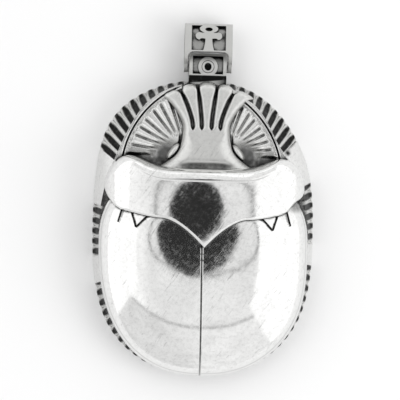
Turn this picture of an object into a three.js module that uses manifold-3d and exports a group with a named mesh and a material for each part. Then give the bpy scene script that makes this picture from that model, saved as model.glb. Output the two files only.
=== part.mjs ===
import * as THREE from 'three';
import { mergeVertices } from 'three/addons/utils/BufferGeometryUtils.js';
import Module from 'manifold-3d';

// Scarab pendant in oxidised silver, in millimetres, +Z up, with the head toward +Y.
// It lies on its flat back, and the origin is the middle of that back.

// Reeded rim: the superellipse of the back, and the smaller one of the rim's top edge
const BACK_HALF_WIDTH = 18.4;
const BACK_HALF_LENGTH = 24.5;
const BACK_SQUARENESS = 2.4;
const RIM_TOP_HALF_WIDTH = 17.24;
const RIM_TOP_FRONT = 24.1;
const RIM_TOP_TAIL = 24.0;
const RIM_FRONT_SQUARENESS = 1.86;
const RIM_TAIL_SQUARENESS = 2.35;
const RIM_HEIGHT = 4.2;
const FLUTES = 80;
const FLUTE_DEPTH = 0.3;
const FLUTE_PHASES = [0.12, 0.2, 0.8, 0.88];
const RIB_SET_BACK = 0.2;
const LEFT_LEGS = [[3.6, 12.4], [-9.9, -5]];
const RIGHT_LEGS = [[6.3, 14.2], [-6, -2]];

// Where the hand-finished outlines stand out from those ovals: [angle, spread, distance]
const BACK_BULGES = [[132, 18, 1.2], [55, 22, -0.55], [-42, 22, 0.6], [226, 16, 0.4]];
const RIM_TOP_BULGES = [[114, 16, 1.1], [50, 14, -1.25], [-42, 22, 0.6]];
const WING_BULGES = [[-38, 22, 0.6]];

// Wing cases: one dome, flatter across than along, with a suture and three cuts a side
const WING_HALF_WIDTH = 17.2;
const WING_MIDDLE_Y = -2;
const WING_TO_TAIL = 22.2;
const WING_TO_FRONT = 13;
const WING_RISE = 6.8;
const DOME_ACROSS = 3.4;
const DOME_ALONG = 3;
const SUTURE_HALF_WIDTH = 0.28;
const SUTURE_DEPTH = 0.25;
const SUTURE_START = -2.4;
const SUTURE_END = -24.6;
const SUTURE_LEAN = -0.35;
const NOTCH_HALF_WIDTH = 0.28;
const NOTCH_DEPTH = 0.3;

// Thorax: the shield that lies across the wing cases, with a point at its middle
const THORAX_HALF_WIDTH = 16.45;
const THORAX_END_Y = 6.8;
const THORAX_POINT_Y = -3.2;
const THORAX_POINT_HALF_WIDTH = 6.93;
const THORAX_POINT_RISE = 4.85;
const THORAX_FRONT_Y = 10.2;
const SHOULDER_X = 12.6;
const SHOULDER_FRONT = 1.8;
const SHOULDER_SPREAD = 3.4;
const SHOULDER_REAR = 0.92;
const THORAX_TOP = 11.6;
const THORAX_CROWN_RADIUS = 53;
const THORAX_LENGTH_RADIUS = 60;
const THORAX_MIDDLE_Y = 0.8;
const THORAX_STEP = 0.35;
const THORAX_REAR_ROUND = 0.7;
const THORAX_END_Z = 4.3;
const THORAX_FRONT_ROUND = 1.8;
const THORAX_FRONT_DROP = 2.7;

// Head: a fan of five lobes that narrows to a neck and widens again at the thorax
const FAN_MIDDLE_Y = 10.6;
const FAN_RADIUS = 13.5;
const HEAD_START_Y = 9;
const NECK_Y = 15.5;
const NECK_HALF_WIDTH = 3.83;
const HEAD_CORNER_Y = 21.7;
const LOBE_EDGES = [0.21, 0.585];
const LOBE_START = 0.5;
const LOBE_GROOVE = 0.75;
const LOBE_SCALLOP = 1.05;
const HEAD_TOP = 8.5;
const HEAD_FALL = 2.3;
const HEAD_SIDE_ROUND = 1.3;
const HEAD_SIDE_DROP = 1.7;

// Forelegs: on each side of the head a fan of ribs with a doubled edge, wider on the left
const FAN_X = 3;
const FAN_Y = 12.2;
const FAN_START = 2;
const LEFT_FAN = [9.85, 0.35, 33];
const RIGHT_FAN = [8.4, 0.4, 32];
const FAN_GROOVES = [9, 19.5, 29, 38.7, 51, 60.5, 71];
const FAN_GROOVE_HALF_WIDTH = 2.2;
const FAN_GROOVE_DEPTH = 0.4;
const FAN_LOW = 4.3;
const FAN_RIBS_LOW = 5;
const FAN_RIBS_HIGH = 5.5;
const FAN_LINE_HEIGHT = 0.2;
const EYE_X = 5.27;
const EYE_Y = 12.7;
const EYE_HALF_LENGTH = 1.6;
const EYE_HALF_WIDTH = 0.66;
const EYE_HALF_HEIGHT = 1.15;
const EYE_LEVEL = 5.9;
const EYE_LEAN = 38;

// Hoop at the head end, and the loose bail that swings in it
const PIVOT_Y = 26.7;
const PIVOT_Z = 3;
const HOOP_RADIUS = 2.15;
const HOOP_BORE = 1.4;
const HOOP_HALF_WIDTH = 3.05;
const RING_RADII = [1.6, 1.15, 0.95];
const RELIEF_DEPTH = 0.32;
const BAIL_HALF_WIDTH = 3.9;
const BAIL_KNEE = [1.9, 3];
const BAIL_SHOULDER = [5.3, 2.3];
const BAIL_TOP = 7.06;
const BAIL_FLAT = 0.6;
const BAIL_WALL = 0.85;
const BAIL_BAR = 0.95;
const WINDOW_HALF_WIDTH = 3.35;
const WINDOW_HEIGHT = 2.45;
const PANEL_HALF_WIDTH = 2.8;
const PANEL_BOTTOM = 2.66;
const PANEL_TOP = 6.73;
const ANKH_RING_Y = 6.2;

// All the body's forms reach down to this level inside the rim, where they are one casting
const ROOT_Z = 3.4;
const DEG = Math.PI / 180;

// Edges shorter than this are left by the joins, and are no part of the form
const SLIVER = 0.03;

const wasm = await Module();
wasm.setup();

// A closed surface from a list of corners and triangles, turned so that its faces point out
function closedSurface(points, triangles) {
  let volume = 0;
  for (const [a, b, c] of triangles) {
    const [p, q, r] = [points[a], points[b], points[c]];
    volume += p[0] * (q[1] * r[2] - q[2] * r[1]);
    volume += p[1] * (q[2] * r[0] - q[0] * r[2]);
    volume += p[2] * (q[0] * r[1] - q[1] * r[0]);
  }
  const outward = volume > 0 ? triangles : triangles.map(([a, b, c]) => [a, c, b]);
  const geometry = new THREE.BufferGeometry();
  geometry.setAttribute('position', new THREE.Float32BufferAttribute(points.flat(), 3));
  geometry.setIndex(outward.flat());
  return geometry;
}

// A skin over closed rings of equal count, with each end closed from its middle
function loft(rings) {
  const count = rings[0].length;
  const points = rings.flat();
  const triangles = [];
  for (let row = 0; row + 1 < rings.length; row++) {
    for (let i = 0; i < count; i++) {
      const a = row * count + i;
      const b = row * count + (i + 1) % count;
      triangles.push([a, b, b + count], [a, b + count, a + count]);
    }
  }
  const middle = (ring) => [0, 1, 2].map((k) => ring.reduce((sum, p) => sum + p[k], 0) / count);
  const first = points.push(middle(rings[0])) - 1;
  const last = points.push(middle(rings.at(-1))) - 1;
  const start = (rings.length - 1) * count;
  for (let i = 0; i < count; i++) {
    const j = (i + 1) % count;
    triangles.push([first, j, i], [last, start + i, start + j]);
  }
  return closedSurface(points, triangles);
}

// A patch of surface over a grid, with walls and a flat floor at the root level
function patch(us, vs, surface) {
  const points = [];
  for (const v of vs) for (const u of us) points.push(surface(u, v));
  const half = points.length;
  for (let i = 0; i < half; i++) points.push([points[i][0], points[i][1], ROOT_Z]);
  const triangles = [];
  const quad = (a, b, c, d) => triangles.push([a, b, c], [a, c, d]);
  const at = (i, j) => j * us.length + i;
  const lastU = us.length - 1;
  const lastV = vs.length - 1;
  for (let j = 0; j < lastV; j++) {
    for (let i = 0; i < lastU; i++) {
      quad(at(i, j), at(i + 1, j), at(i + 1, j + 1), at(i, j + 1));
      quad(half + at(i, j), half + at(i, j + 1), half + at(i + 1, j + 1), half + at(i + 1, j));
    }
    quad(at(0, j), at(0, j + 1), half + at(0, j + 1), half + at(0, j));
    quad(at(lastU, j), half + at(lastU, j), half + at(lastU, j + 1), at(lastU, j + 1));
  }
  for (let i = 0; i < lastU; i++) {
    quad(at(i, 0), half + at(i, 0), half + at(i + 1, 0), at(i + 1, 0));
    quad(at(i, lastV), at(i + 1, lastV), half + at(i + 1, lastV), half + at(i, lastV));
  }
  return closedSurface(points, triangles);
}

// Merges a closed geometry's shared corners and makes it a solid that can be joined and cut
function solid(geometry) {
  geometry.deleteAttribute('normal');
  geometry.deleteAttribute('uv');
  const merged = mergeVertices(geometry, 1e-4);
  const corners = merged.index.array;
  const kept = [];
  for (let i = 0; i < corners.length; i += 3) {
    const [a, b, c] = corners.slice(i, i + 3);
    if (a !== b && b !== c && c !== a) kept.push(a, b, c);
  }
  return new wasm.Manifold(new wasm.Mesh({
    numProp: 3,
    vertProperties: new Float32Array(merged.attributes.position.array),
    triVerts: new Uint32Array(kept),
  }));
}

const minus = (p, q) => [p[0] - q[0], p[1] - q[1], p[2] - q[2]];
const dot = (p, q) => p[0] * q[0] + p[1] * q[1] + p[2] * q[2];
const cross = (p, q) =>
  [p[1] * q[2] - p[2] * q[1], p[2] * q[0] - p[0] * q[2], p[0] * q[1] - p[1] * q[0]];
const facing = (a, b, c) => cross(minus(b, a), minus(c, a));

// One pass of drawing short edges together, where the surface stays closed and nothing folds over
function drawShortEdges(points, triangles) {
  const around = points.map(() => []);
  for (const triangle of triangles) for (const corner of triangle) around[corner].push(triangle);
  const neighbours = (i) => new Set(around[i].flat().filter((j) => j !== i));
  const busy = new Set();
  for (const [a, b] of triangles.flatMap(([i, j, k]) => [[i, j], [j, k], [k, i]])) {
    const gap = minus(points[a], points[b]);
    if (a === b || busy.has(a) || busy.has(b) || dot(gap, gap) > SLIVER ** 2) continue;
    const ofA = neighbours(a);
    const shared = [...neighbours(b)].filter((i) => ofA.has(i));
    const moved = around[b].filter((triangle) => !triangle.includes(a));
    const folds = moved.some((triangle) => {
      const before = facing(...triangle.map((i) => points[i]));
      const after = facing(...triangle.map((i) => points[i === b ? a : i]));
      return dot(before, after) <= 0.3 * Math.hypot(...before) * Math.hypot(...after);
    });
    if (shared.length !== 2 || folds) continue;
    for (const i of [...ofA, ...neighbours(b)]) busy.add(i);
    for (const triangle of moved) triangle[triangle.indexOf(b)] = a;
    for (const triangle of around[b]) if (triangle.includes(b)) triangle.fill(a);
  }
  return triangles.filter(([a, b, c]) => a !== b && b !== c && c !== a);
}

// One pass of turning the long edge of each flat sliver, so that its two triangles are fuller
function turnLongEdges(points, triangles) {
  const owner = new Map();
  for (const triangle of triangles) {
    triangle.forEach((a, k) => owner.set(`${a},${triangle[(k + 1) % 3]}`, triangle));
  }
  const busy = new Set();
  for (const triangle of triangles) {
    const sides = triangle.map((a, k) => Math.hypot(...minus(points[a], points[triangle[(k + 1) % 3]])));
    const long = sides.indexOf(Math.max(...sides));
    const [a, b, c] = [0, 1, 2].map((k) => triangle[(long + k) % 3]);
    const area = Math.hypot(...facing(points[a], points[b], points[c]));
    const other = owner.get(`${b},${a}`);
    const d = other.find((i) => i !== a && i !== b);
    if (area > SLIVER / 4 * sides[long] || busy.has(triangle) || busy.has(other)) continue;
    if (owner.has(`${c},${d}`) || owner.has(`${d},${c}`)) continue;
    const normal = facing(...other.map((i) => points[i]));
    const halves = [[c, d, b], [d, c, a]].map((half) => facing(...half.map((i) => points[i])));
    const fit = halves.every((half) => dot(half, normal) > 0.9 * Math.hypot(...half) * Math.hypot(...normal));
    if (!fit) continue;
    busy.add(triangle).add(other);
    owner.set(`${c},${d}`, triangle).set(`${d},${c}`, other);
    triangle.splice(0, 3, c, d, b);
    other.splice(0, 3, d, c, a);
  }
  return triangles;
}

// The joins leave slivers, which are drawn together or turned before the surface is used
function meshOf(name, body, material) {
  const { vertProperties, triVerts } = body.getMesh();
  const points = Array.from({ length: vertProperties.length / 3 }, (_, i) =>
    [...vertProperties.subarray(3 * i, 3 * i + 3)]);
  let triangles = Array.from({ length: triVerts.length / 3 }, (_, i) =>
    [...triVerts.subarray(3 * i, 3 * i + 3)]);
  for (let pass = 0; pass < 5; pass++) {
    triangles = turnLongEdges(points, drawShortEdges(points, triangles));
  }
  const geometry = new THREE.BufferGeometry();
  geometry.setAttribute('position', new THREE.Float32BufferAttribute(points.flat(), 3));
  geometry.setIndex(triangles.flat());
  geometry.computeVertexNormals();
  const mesh = new THREE.Mesh(geometry, material);
  mesh.name = name;
  return mesh;
}

const steps = (from, to, count) =>
  Array.from({ length: count + 1 }, (_, i) => from + (to - from) * i / count);
const mirrored = (values) => [...values.filter((x) => x > 0).map((x) => -x).reverse(), ...values];
const bothSides = (shape) => shape.add(shape.mirror([1, 0, 0]));

function superellipse(angle, halfX, halfY, squareness) {
  const x = Math.abs(Math.cos(angle)) / halfX;
  const y = Math.abs(Math.sin(angle)) / halfY;
  return (x ** squareness + y ** squareness) ** (-1 / squareness);
}

// Angles round the back's outline at which its length has the given fractions
function anglesAlongBack(fractions) {
  const fine = steps(-Math.PI / 2, 1.5 * Math.PI, 4000);
  const lengths = [0];
  const corner = (angle) => {
    const r = superellipse(angle, BACK_HALF_WIDTH, BACK_HALF_LENGTH, BACK_SQUARENESS);
    return [r * Math.cos(angle), r * Math.sin(angle)];
  };
  for (let i = 1; i < fine.length; i++) {
    const [x0, y0] = corner(fine[i - 1]);
    const [x1, y1] = corner(fine[i]);
    lengths.push(lengths[i - 1] + Math.hypot(x1 - x0, y1 - y0));
  }
  let i = 0;
  return fractions.map((fraction) => {
    const wanted = fraction * lengths.at(-1);
    while (lengths[i + 1] < wanted) i++;
    return fine[i] + (fine[i + 1] - fine[i]) * (wanted - lengths[i]) / (lengths[i + 1] - lengths[i]);
  });
}

// How far an outline stands out at an angle
function standOut(bulges, angle) {
  return bulges.reduce((sum, [middle, spread, distance]) => {
    const away = ((angle / DEG - middle + 540) % 360) - 180;
    return sum + distance * Math.exp(-((away / spread) ** 2));
  }, 0);
}

function backRadius(angle) {
  return superellipse(angle, BACK_HALF_WIDTH, BACK_HALF_LENGTH, BACK_SQUARENESS) + standOut(BACK_BULGES, angle);
}

function rimTopRadius(angle) {
  const oval = Math.sin(angle) > 0
    ? superellipse(angle, RIM_TOP_HALF_WIDTH, RIM_TOP_FRONT, RIM_FRONT_SQUARENESS)
    : superellipse(angle, RIM_TOP_HALF_WIDTH, RIM_TOP_TAIL, RIM_TAIL_SQUARENESS);
  return Math.min(oval + standOut(RIM_TOP_BULGES, angle), backRadius(angle) - 0.4);
}

// Rim: a sloping band from the back to the top edge, fluted except where the legs cross it
function rim() {
  const fractions = [];
  for (let k = 0; k < FLUTES; k++) {
    for (const phase of FLUTE_PHASES) fractions.push((k + phase) / FLUTES);
  }
  const angles = anglesAlongBack(fractions);
  const ring = (height) => angles.map((angle, i) => {
    const outer = backRadius(angle);
    const y = outer * Math.sin(angle);
    const legs = Math.cos(angle) < 0 ? LEFT_LEGS : RIGHT_LEGS;
    const leg = legs.some(([low, high]) => y > low && y < high);
    const inFlute = i % 4 === 1 || i % 4 === 2;
    const cut = inFlute ? FLUTE_DEPTH * (height > 0) : RIB_SET_BACK * (1 - height);
    const r = outer + (rimTopRadius(angle) - outer) * height - (leg ? 0 : cut);
    return [r * Math.cos(angle), r * Math.sin(angle), RIM_HEIGHT * height];
  });
  return solid(loft([0, 0.12, 1].map(ring)));
}

// Height of the wing cases on the ring of size m, at a place from their middle
function domeHeight(x, y, m) {
  const lengthwise = y * y / (x * x + y * y + 1e-9);
  const squareness = DOME_ACROSS - (DOME_ACROSS - DOME_ALONG) * lengthwise;
  return RIM_HEIGHT + WING_RISE * Math.sqrt(Math.max(0, 1 - m ** squareness));
}

const wingSquareness = (m) => 2 + 0.35 * m * m;

// Height of the wing cases over a place in plan
function wingHeight(x, y) {
  const reach = y > WING_MIDDLE_Y ? WING_TO_FRONT : WING_TO_TAIL;
  let m = 0.5;
  for (let i = 0; i < 6; i++) {
    const n = wingSquareness(m);
    m = ((Math.abs(x) / WING_HALF_WIDTH) ** n + (Math.abs(y - WING_MIDDLE_Y) / reach) ** n) ** (1 / n);
    m = Math.min(m, 1);
  }
  return domeHeight(x, y - WING_MIDDLE_Y, m);
}

function wingCases() {
  const angles = steps(0, 2 * Math.PI, 68).slice(0, -1);
  const ring = (m, z) => angles.map((angle) => {
    const reach = Math.sin(angle) > 0 ? WING_TO_FRONT : WING_TO_TAIL;
    const bulge = m ** 3 * standOut(WING_BULGES, angle);
    const r = m * superellipse(angle, WING_HALF_WIDTH, reach, wingSquareness(m)) + bulge;
    const [x, y] = [r * Math.cos(angle), r * Math.sin(angle)];
    return [x, WING_MIDDLE_Y + y, z ?? domeHeight(x, y, m)];
  });
  const sizes = [0.1, 0.26, 0.42, 0.56, 0.68, 0.78, 0.86, 0.92, 0.965, 0.99, 1];
  return solid(loft([...sizes.map((m) => ring(m)), ring(1, ROOT_Z)]));
}

// A V-shaped cut along the wing cases through places in plan
function incision(places, width, depth) {
  return solid(loft(places.map(([x, y], i) => {
    const [ax, ay] = places[Math.max(0, i - 1)];
    const [bx, by] = places[Math.min(places.length - 1, i + 1)];
    const length = Math.hypot(bx - ax, by - ay);
    const [sx, sy] = [(by - ay) / length * width, -(bx - ax) / length * width];
    const z = wingHeight(x, y);
    return [[x - sx, y - sy, z + depth], [x + sx, y + sy, z + depth], [x, y, z - depth]];
  })));
}

function wingIncisions() {
  const suture = incision(steps(0, 1, 14).map((t) =>
    [SUTURE_LEAN * (1 - t), SUTURE_START + (SUTURE_END - SUTURE_START) * t]), SUTURE_HALF_WIDTH, SUTURE_DEPTH);
  const line = (a, b) => incision([a, [(a[0] + b[0]) / 2, (a[1] + b[1]) / 2], b], NOTCH_HALF_WIDTH, NOTCH_DEPTH);
  const marks = [
    line([8.4, 2.5], [11.15, -0.2]),
    line([12.1, 3.3], [11.15, -0.2]),
    line([13.2, 3.6], [14.05, 0.5]),
  ];
  return marks.reduce((all, mark) => all.add(bothSides(mark)), suture);
}

const blunt = (t, power) => Math.max(0, 1 - Math.max(0, t) ** power) ** (1 / power);

function thoraxRear(x) {
  if (x < THORAX_POINT_HALF_WIDTH) {
    return THORAX_POINT_Y + THORAX_POINT_RISE * (1 - (1 - x / THORAX_POINT_HALF_WIDTH) ** 1.85);
  }
  const low = THORAX_POINT_Y + THORAX_POINT_RISE;
  const t = (Math.min(x, SHOULDER_X) - THORAX_POINT_HALF_WIDTH) / (SHOULDER_X - THORAX_POINT_HALF_WIDTH);
  const rear = low + SHOULDER_REAR * t ** 1.6;
  const end = (x - SHOULDER_X) / (THORAX_HALF_WIDTH - SHOULDER_X);
  return THORAX_END_Y - (THORAX_END_Y - rear) * blunt(end, 1.75);
}

function thoraxFront(x) {
  const hump = SHOULDER_FRONT * Math.exp(-(((Math.min(x, SHOULDER_X) - SHOULDER_X) / SHOULDER_SPREAD) ** 2));
  const end = (x - SHOULDER_X) / (THORAX_HALF_WIDTH - SHOULDER_X);
  return THORAX_END_Y + (THORAX_FRONT_Y + hump - THORAX_END_Y) * blunt(end, 1.8);
}

// Thorax: crowned across and along, rounded down at both ends and in front, with a thin rear lip
function thorax() {
  const place = (u, v) => {
    const x = THORAX_HALF_WIDTH * Math.sin(u * Math.PI / 2);
    const ax = Math.abs(x);
    const rear = thoraxRear(ax);
    const depth = thoraxFront(ax) - rear;
    const y = rear + v * depth;
    const crown = (at) => THORAX_TOP - x * x / (2 * THORAX_CROWN_RADIUS)
      - (at - THORAX_MIDDLE_Y) ** 2 / (2 * THORAX_LENGTH_RADIUS);
    const overLip = crown(rear) - wingHeight(ax, rear) - THORAX_STEP;
    const rearRound = Math.min(THORAX_REAR_ROUND, 0.45 * depth) + 1e-6;
    const frontRound = Math.min(THORAX_FRONT_ROUND, 0.4 * depth) + 1e-6;
    const lip = 1 - blunt(1 - Math.min(1, v * depth / rearRound), 2);
    const nose = 1 - blunt(1 - Math.min(1, (1 - v) * depth / frontRound), 2);
    const z = crown(y) - overLip * lip - THORAX_FRONT_DROP * nose;
    const fade = blunt((ax - SHOULDER_X + 0.4) / (THORAX_HALF_WIDTH - SHOULDER_X + 0.4), 2.2);
    return [x, y, THORAX_END_Z + (z - THORAX_END_Z) * fade];
  };
  return solid(patch(steps(-1, 1, 38), [0, 0.015, 0.06, 0.3, 0.55, 0.76, 0.85, 0.92, 0.97, 1], place));
}

function headHalfWidth(y) {
  const flare = Math.hypot(1.19, 0.8 * Math.max(0, y - NECK_Y)) - 1.19;
  const root = Math.min(3.8, 0.45 * (Math.max(0, NECK_Y - y) / 2.7) ** 3);
  return NECK_HALF_WIDTH + flare + root;
}

// Head: lobes fan out from the neck, with a groove between each two and a scallop at each tip
function head() {
  const place = (u, v) => {
    const halfWidth = headHalfWidth(HEAD_START_Y + v * (HEAD_CORNER_Y - HEAD_START_Y));
    const x = halfWidth * u;
    const edges = [-1.12, -LOBE_EDGES[1], -LOBE_EDGES[0], LOBE_EDGES[0], LOBE_EDGES[1], 1.12];
    const lobe = edges.findIndex((edge) => edge > u);
    const middle = (edges[lobe - 1] + edges[lobe]) / 2;
    const across = Math.abs(u - middle) / ((edges[lobe] - edges[lobe - 1]) / 2);
    const out = Math.min(1, Math.max(0, (v - LOBE_START) / (0.8 - LOBE_START)));
    const bow = v * v * (FAN_RADIUS - Math.sqrt(FAN_RADIUS ** 2 - x * x));
    const scallop = LOBE_SCALLOP * v ** 10 * across ** 4;
    const y = HEAD_START_Y + v * (FAN_MIDDLE_Y + FAN_RADIUS - HEAD_START_Y) - bow - scallop;
    const fromSide = Math.min(1, (1 - Math.abs(u)) * halfWidth / HEAD_SIDE_ROUND);
    const side = HEAD_SIDE_DROP * (1 - blunt(1 - fromSide, 2));
    const groove = LOBE_GROOVE * out * across ** 6;
    const tip = 0.8 * Math.max(0, (v - 0.93) / 0.07) ** 2;
    return [x, y, HEAD_TOP - HEAD_FALL * v - side - groove - tip];
  };
  const lobeSteps = [0, 0.13, 0.19, 0.22, 0.28, 0.4, 0.52, 0.57, 0.6, 0.68, 0.8, 0.92, 0.98, 1];
  return solid(patch(mirrored(lobeSteps), [0, 0.12, 0.22, 0.32, 0.48, 0.58, 0.7, 0.8, 0.88, 0.94, 0.98, 1], place));
}

// Distance from the ribs' point to the rim's top edge
function fanReach(side, angle) {
  let r = 9;
  for (let i = 0; i < 14; i++) {
    const x = side * (FAN_X + r * Math.cos(angle * DEG));
    const y = FAN_Y + r * Math.sin(angle * DEG);
    r = Math.min(13, Math.max(7, r + 0.8 * (rimTopRadius(Math.atan2(y, x)) - Math.hypot(x, y))));
  }
  return r;
}

// Foreleg: ribs that rise out of the low ground by the eye, and two raised lines along the rim
function foreleg(side) {
  const angles = [-28, -16, -6, 3];
  for (const groove of FAN_GROOVES) {
    angles.push(groove - FAN_GROOVE_HALF_WIDTH, groove, groove + FAN_GROOVE_HALF_WIDTH);
  }
  angles.push(84);
  const [middle, bow, at] = side < 0 ? LEFT_FAN : RIGHT_FAN;
  const place = (angle, row) => {
    const edge = middle + bow * ((angle - at) / 25) ** 2;
    const reach = Math.min(fanReach(side, angle), edge + 2) - 0.03;
    const stops = [FAN_START, 3.6, 4.7, edge - 0.9, edge - 0.45, edge - 0.12, edge, edge + 0.12];
    const ends = stops.map((stop) => Math.min(stop, reach - 0.2));
    const r = [...ends, reach][row];
    const ribs = FAN_RIBS_LOW + (FAN_RIBS_HIGH - FAN_RIBS_LOW) * (r - 4) / (middle - 4);
    const groove = FAN_GROOVES.includes(angle) && row > 0 && row < 4 ? FAN_GROOVE_DEPTH : 0;
    const raised = FAN_LINE_HEIGHT * ([0, 0, 0, 0, 0, 1, -0.5, 1, 0][row]);
    const z = row < 2 ? FAN_LOW : ribs - groove + raised;
    return [side * (FAN_X + r * Math.cos(angle * DEG)), FAN_Y + r * Math.sin(angle * DEG), row < 8 ? z : FAN_LOW];
  };
  return solid(patch(angles, [0, 1, 2, 3, 4, 5, 6, 7, 8], place));
}

function eye() {
  const ball = new THREE.SphereGeometry(1, 14, 8);
  ball.scale(EYE_HALF_WIDTH, EYE_HALF_LENGTH, EYE_HALF_HEIGHT);
  ball.rotateZ(EYE_LEAN * DEG);
  ball.translate(EYE_X, EYE_Y, EYE_LEVEL);
  return solid(ball);
}

// An outline drawn in the plane of Y and Z, made as long as twice halfWidth along X
function alongX(shape, halfWidth) {
  const geometry = new THREE.ExtrudeGeometry(shape, { depth: 2 * halfWidth, bevelEnabled: false, curveSegments: 10 });
  geometry.translate(0, 0, -halfWidth);
  geometry.applyMatrix4(new THREE.Matrix4().makeBasis(
    new THREE.Vector3(0, 1, 0), new THREE.Vector3(0, 0, 1), new THREE.Vector3(1, 0, 0)));
  return solid(geometry);
}

// An outline drawn in plan, made upright from low to high
function upright(shape, low, high) {
  const geometry = new THREE.ExtrudeGeometry(shape, { depth: high - low, bevelEnabled: false, curveSegments: 10 });
  geometry.translate(0, 0, low);
  return solid(geometry);
}

function box(x0, x1, y0, y1, z0, z1) {
  const geometry = new THREE.BoxGeometry(x1 - x0, y1 - y0, z1 - z0);
  geometry.translate((x0 + x1) / 2, (y0 + y1) / 2, (z0 + z1) / 2);
  return solid(geometry);
}

const disc = (x, y, radius) => new THREE.Shape().absarc(x, y, radius, 0, 2 * Math.PI);

function oval(x, y, halfX, halfY) {
  return new THREE.Shape().absellipse(x, y, halfX, halfY, 0, 2 * Math.PI);
}

// Hoop: a short tube on a lug, with a sunk front that leaves a ring with a hole
function hoop() {
  const bore = alongX(disc(0, 0, HOOP_BORE), HOOP_HALF_WIDTH + 1);
  const lug = box(-HOOP_HALF_WIDTH, HOOP_HALF_WIDTH, -4.2, -1.65, -1.9, 1.9);
  const tube = alongX(disc(0, 0, HOOP_RADIUS), HOOP_HALF_WIDTH).add(lug).subtract(bore);
  const skin = alongX(disc(0, 0, HOOP_RADIUS + 0.1), 2.5)
    .subtract(alongX(disc(0, 0, HOOP_RADIUS - RELIEF_DEPTH), 2.6));
  const [outer, between, inner] = RING_RADII;
  const ring = upright(disc(0, 0, outer), 0, 4)
    .subtract(upright(disc(0, 0, between), -1, 5))
    .add(upright(disc(0, 0, inner), 0, 4));
  const sunk = skin.intersect(box(-2.5, 2.5, -1.75, 1.75, 0, 4)).subtract(ring);
  const hole = upright(oval(0, 0, 0.55, 0.6), HOOP_RADIUS - 0.6, 4);
  return tube.subtract(sunk).subtract(hole).translate([0, PIVOT_Y, PIVOT_Z]);
}

// Side outline of the bail's strap, sunk inward by inset, drawn about the pivot
function strapOutline(inset) {
  const foot = 1.35 * inset - BAIL_BAR;
  const knee = BAIL_KNEE[1] - inset;
  const [shoulderY, shoulderZ] = [BAIL_SHOULDER[0] - 0.2 * inset, BAIL_SHOULDER[1] - inset];
  const crown = BAIL_TOP - inset;
  const bend = shoulderZ - 0.205 * (crown - shoulderY);
  return new THREE.Shape()
    .moveTo(foot, 0)
    .quadraticCurveTo(foot, 0.95 - 0.9 * inset, 0.4, 1.7 - inset)
    .quadraticCurveTo(1.1, knee, BAIL_KNEE[0], knee)
    .quadraticCurveTo(2.4, knee, 2.9, knee - 0.15)
    .lineTo(shoulderY, shoulderZ)
    .quadraticCurveTo(crown, bend, crown, BAIL_FLAT)
    .lineTo(crown, -BAIL_FLAT)
    .quadraticCurveTo(crown, -bend, shoulderY, -shoulderZ)
    .lineTo(2.9, 0.15 - knee)
    .quadraticCurveTo(2.4, -knee, BAIL_KNEE[0], -knee)
    .quadraticCurveTo(1.1, -knee, 0.4, inset - 1.7)
    .quadraticCurveTo(foot, 0.9 * inset - 0.95, foot, 0);
}

// Ankh in plan about the pivot: a ring, two flared arms and a stem that widens at its foot
function ankh() {
  const ring = upright(oval(0, ANKH_RING_Y, 1.5, 0.7), 0, 4).subtract(upright(oval(0, 6.1, 0.6, 0.32), -1, 5));
  const cross = new THREE.Shape()
    .moveTo(-0.92, PANEL_BOTTOM - 0.1)
    .quadraticCurveTo(-0.6, 3.5, -0.55, 4.55)
    .quadraticCurveTo(-1.3, 4.75, -1.5, 4.4)
    .absarc(-1.55, 5.02, 0.62, -Math.PI / 2, Math.PI / 2, true)
    .quadraticCurveTo(-1, 5.4, -0.5, 5.7)
    .lineTo(0.5, 5.7)
    .quadraticCurveTo(1, 5.4, 1.55, 5.64)
    .absarc(1.55, 5.02, 0.62, Math.PI / 2, -Math.PI / 2, true)
    .quadraticCurveTo(1.3, 4.75, 0.55, 4.55)
    .quadraticCurveTo(0.6, 3.5, 0.92, PANEL_BOTTOM - 0.1);
  return ring.add(upright(cross, 0, 4));
}

// Bail: a bent strap whose legs have a window for the hoop and close on a cross bar
function bail() {
  const strap = alongX(strapOutline(0), BAIL_HALF_WIDTH)
    .subtract(alongX(strapOutline(BAIL_WALL), BAIL_HALF_WIDTH + 1));
  const opening = new THREE.Shape()
    .moveTo(-WINDOW_HALF_WIDTH, -3)
    .lineTo(WINDOW_HALF_WIDTH, -3)
    .lineTo(WINDOW_HALF_WIDTH, WINDOW_HEIGHT - 0.9)
    .absarc(WINDOW_HALF_WIDTH - 0.9, WINDOW_HEIGHT - 0.9, 0.9, 0, Math.PI / 2)
    .absarc(0.9 - WINDOW_HALF_WIDTH, WINDOW_HEIGHT - 0.9, 0.9, Math.PI / 2, Math.PI);
  const bar = alongX(disc(0, 0, BAIL_BAR), BAIL_HALF_WIDTH);
  const skin = alongX(strapOutline(-0.1), PANEL_HALF_WIDTH)
    .subtract(alongX(strapOutline(RELIEF_DEPTH), PANEL_HALF_WIDTH + 1));
  const panel = box(-PANEL_HALF_WIDTH, PANEL_HALF_WIDTH, PANEL_BOTTOM, PANEL_TOP, 0, 4);
  const sunk = skin.intersect(panel).subtract(ankh());
  return strap.subtract(upright(opening, -4, 4)).add(bar).subtract(sunk)
    .translate([0, PIVOT_Y, PIVOT_Z]);
}

const silver = new THREE.MeshStandardMaterial({ color: 0xcfcfcd, roughness: 0.18, metalness: 1 });
const darkenedSilver = new THREE.MeshStandardMaterial({ color: 0xb9b9b7, roughness: 0.25, metalness: 1 });

const casting = rim()
  .add(wingCases().subtract(wingIncisions()))
  .add(thorax())
  .add(head())
  .add(foreleg(-1))
  .add(foreleg(1))
  .add(bothSides(eye()))
  .add(hoop());

const pendant = new THREE.Group();
pendant.name = 'scarab_pendant';
pendant.add(meshOf('scarab_body', casting, silver));
pendant.add(meshOf('bail', bail(), darkenedSilver));

export default pendant;
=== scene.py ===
from math import cos, pi, radians, sin, tan

import bmesh
import bpy
import numpy as np
from mathutils import Matrix, Vector, kdtree


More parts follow.
